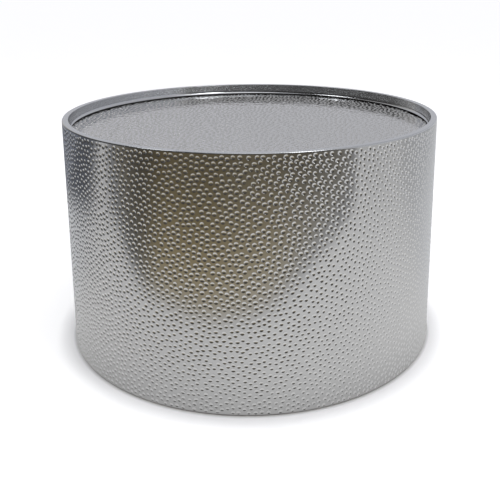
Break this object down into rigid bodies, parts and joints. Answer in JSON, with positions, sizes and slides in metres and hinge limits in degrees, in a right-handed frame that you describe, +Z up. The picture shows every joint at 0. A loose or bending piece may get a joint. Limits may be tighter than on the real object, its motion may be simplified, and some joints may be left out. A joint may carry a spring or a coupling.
{
  "type": "drum coffee table",
  "caption": "Round drum coffee table clad in embossed sheet metal, with a smooth raised rim round a recessed top, standing on floor glides.",
  "frame": {"origin": "centre of the drum on the floor", "axes": "+Z up along the drum's axis, -Y towards the side that the picture shows, seam at the back"},
  "size_m": [0.74, 0.74, 0.45],
  "materials": {
    "embossed_sheet": "polished sheet, embossed with close round dimples",
    "embossed_top": "polished sheet, embossed with close round dimples",
    "smooth_rim": "polished and smooth",
    "pin_metal": "plated dome-headed pins",
    "plywood": "bare plywood",
    "board": "bare fibreboard",
    "softwood": "planed softwood",
    "zinc_screw": "zinc plated",
    "glide_plastic": "black nylon"
  },
  "bodies": {
    "root": {"base_ring": "plywood", "upper_ring": "plywood", "post_1": "softwood", "post_2": "softwood", "post_3": "softwood", "post_4": "softwood", "post_5": "softwood", "post_6": "softwood", "base_ring_screws": "zinc_screw", "upper_ring_screws": "zinc_screw", "core_screws": "zinc_screw", "glide_screws": "zinc_screw", "wall_front": "plywood", "wall_back": "plywood", "drum_skin": "embossed_sheet", "seam_pins": "pin_metal", "rim_cap": "smooth_rim", "top_core": "board", "top_sheet": "embossed_top", "glide_1": "glide_plastic", "glide_2": "glide_plastic", "glide_3": "glide_plastic", "glide_4": "glide_plastic", "glide_5": "glide_plastic", "glide_6": "glide_plastic"}
  },
  "joints": []
}
